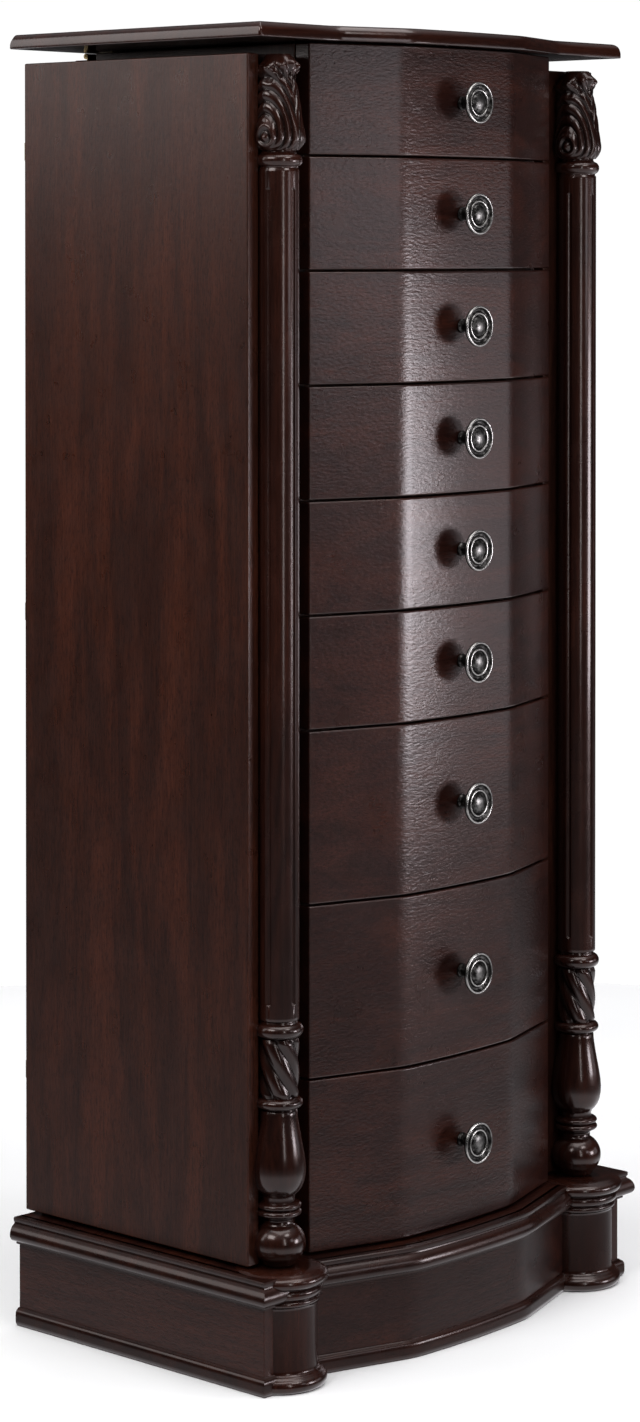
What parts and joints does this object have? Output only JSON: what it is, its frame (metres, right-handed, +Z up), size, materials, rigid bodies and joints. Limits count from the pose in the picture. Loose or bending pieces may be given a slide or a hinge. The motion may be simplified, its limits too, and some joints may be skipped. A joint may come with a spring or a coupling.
{
  "type": "standing jewellery chest with drawers",
  "caption": "Bow-fronted standing jewellery chest with pull-out drawers, a lift-up lid over a tray, and side doors that carry the turned corner columns.",
  "frame": {"origin": "on the floor, at the middle of the chest's overall width and depth", "axes": "+Z up, the drawer fronts face -Y, +X is the chest's side to the right of someone facing it"},
  "size_m": [0.446, 0.304, 1.016],
  "materials": {
    "carcass_wood": "satin dark walnut lacquer",
    "front_veneer": "satin dark walnut veneer with a level grain",
    "panel_veneer": "satin dark walnut veneer with an upright grain",
    "plinth_wood": "satin dark walnut lacquer",
    "turned_wood": "semi-gloss dark walnut lacquer on turned and carved wood",
    "lid_wood": "semi-gloss dark walnut lacquer",
    "drawer_wood": "plain stained drawer wood",
    "velvet": "short-pile velvet",
    "pewter": "antique pewter, rubbed bright on the rims",
    "hinge_metal": "antique brass",
    "mirror": "silvered glass"
  },
  "bodies": {
    "carcass": {"carcass_side_left": "carcass_wood", "carcass_side_right": "carcass_wood", "back_panel": "carcass_wood", "bottom_panel": "carcass_wood", "rear_stiles": "carcass_wood", "drawer_rails": "drawer_wood", "tray": "drawer_wood", "tray_dividers": "velvet", "ring_cushion": "velvet", "top_front": "front_veneer", "top_knob": "pewter", "plinth_deck": "plinth_wood", "plinth_sides": "plinth_wood", "plinth_front": "plinth_wood", "plinth_back": "plinth_wood", "plinth_moulding": "turned_wood", "plinth_bead": "turned_wood", "turrets": "turned_wood", "hinge_bases": "hinge_metal"},
    "lid": {"lid_panel": "lid_wood", "mirror_frame": "lid_wood", "mirror_glass": "mirror", "lid_hinge_leaves": "hinge_metal"},
    "door_left": {"door_panel_left": "panel_veneer", "door_frame_left": "carcass_wood", "column_left": "turned_wood", "hook_rail_left": "carcass_wood", "hooks_left": "hinge_metal", "hinge_leaves_left": "hinge_metal"},
    "door_right": {"door_panel_right": "panel_veneer", "door_frame_right": "carcass_wood", "column_right": "turned_wood", "hook_rail_right": "carcass_wood", "hooks_right": "hinge_metal", "hinge_leaves_right": "hinge_metal"},
    "drawer_1": {"drawer_front_1": "front_veneer", "drawer_box_1": "drawer_wood", "drawer_knob_1": "pewter"},
    "drawer_2": {"drawer_front_2": "front_veneer", "drawer_box_2": "drawer_wood", "drawer_knob_2": "pewter"},
    "drawer_3": {"drawer_front_3": "front_veneer", "drawer_box_3": "drawer_wood", "drawer_knob_3": "pewter"},
    "drawer_4": {"drawer_front_4": "front_veneer", "drawer_box_4": "drawer_wood", "drawer_knob_4": "pewter"},
    "drawer_5": {"drawer_front_5": "front_veneer", "drawer_box_5": "drawer_wood", "drawer_knob_5": "pewter"},
    "drawer_6": {"drawer_front_6": "front_veneer", "drawer_box_6": "drawer_wood", "drawer_knob_6": "pewter"},
    "drawer_7": {"drawer_front_7": "front_veneer", "drawer_box_7": "drawer_wood", "drawer_knob_7": "pewter"},
    "drawer_8": {"drawer_front_8": "front_veneer", "drawer_box_8": "drawer_wood", "drawer_knob_8": "pewter"}
  },
  "joints": [
    {"name": "lid_hinge", "type": "hinge", "parent": "carcass", "child": "lid", "pos_m": [0, 0.1496, 1.002], "axis": [-1, 0, 0], "range_deg": [0, 95]},
    {"name": "door_left_hinge", "type": "hinge", "parent": "carcass", "child": "door_left", "pos_m": [-0.193, 0.1496, 0.54], "axis": [0, 0, -1], "range_deg": [0, 105]},
    {"name": "door_right_hinge", "type": "hinge", "parent": "carcass", "child": "door_right", "pos_m": [0.193, 0.1496, 0.54], "axis": [0, 0, 1], "range_deg": [0, 105]},
    {"name": "drawer_1_slide", "type": "slide", "parent": "carcass", "child": "drawer_1", "axis": [0, -1, 0], "range_m": [0, 0.15]},
    {"name": "drawer_2_slide", "type": "slide", "parent": "carcass", "child": "drawer_2", "axis": [0, -1, 0], "range_m": [0, 0.15]},
    {"name": "drawer_3_slide", "type": "slide", "parent": "carcass", "child": "drawer_3", "axis": [0, -1, 0], "range_m": [0, 0.15]},
    {"name": "drawer_4_slide", "type": "slide", "parent": "carcass", "child": "drawer_4", "axis": [0, -1, 0], "range_m": [0, 0.15]},
    {"name": "drawer_5_slide", "type": "slide", "parent": "carcass", "child": "drawer_5", "axis": [0, -1, 0], "range_m": [0, 0.15]},
    {"name": "drawer_6_slide", "type": "slide", "parent": "carcass", "child": "drawer_6", "axis": [0, -1, 0], "range_m": [0, 0.15]},
    {"name": "drawer_7_slide", "type": "slide", "parent": "carcass", "child": "drawer_7", "axis": [0, -1, 0], "range_m": [0, 0.15]},
    {"name": "drawer_8_slide", "type": "slide", "parent": "carcass", "child": "drawer_8", "axis": [0, -1, 0], "range_m": [0, 0.15]}
  ]
}
